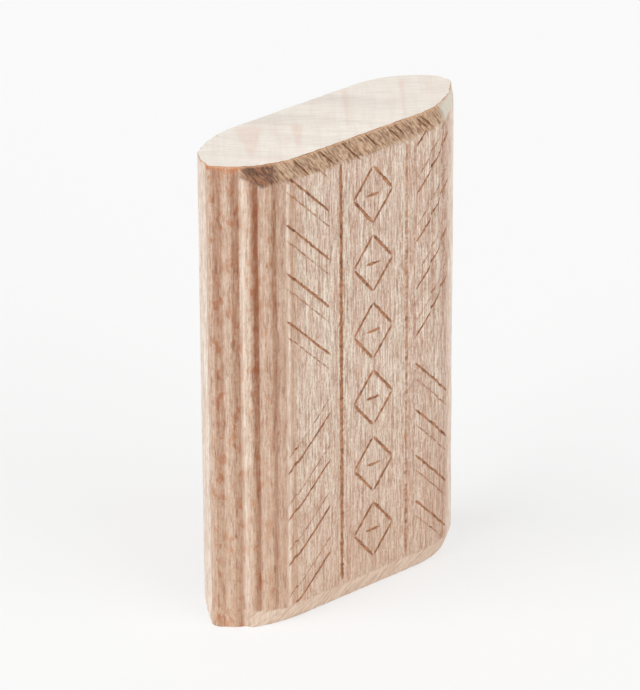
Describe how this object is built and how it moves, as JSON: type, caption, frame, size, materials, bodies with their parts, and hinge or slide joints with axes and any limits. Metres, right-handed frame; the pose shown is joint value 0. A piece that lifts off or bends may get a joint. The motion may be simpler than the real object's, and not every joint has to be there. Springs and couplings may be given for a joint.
{
  "type": "loose tenon",
  "caption": "Flat beech loose tenon with ridged round edges, bevelled ends and a pressed herringbone and lozenge pattern, for gluing into two mortises.",
  "frame": {"origin": "middle of the lower end face, which the tenon stands on", "axes": "+Z along the length and the grain, X across the width, Y through the thickness, with the front broad face towards -Y"},
  "size_m": [0.0218, 0.008, 0.036],
  "materials": {
    "beech": "unfinished planed beech, with sawn end grain"
  },
  "bodies": {
    "root": {"tenon": "beech"}
  },
  "joints": []
}
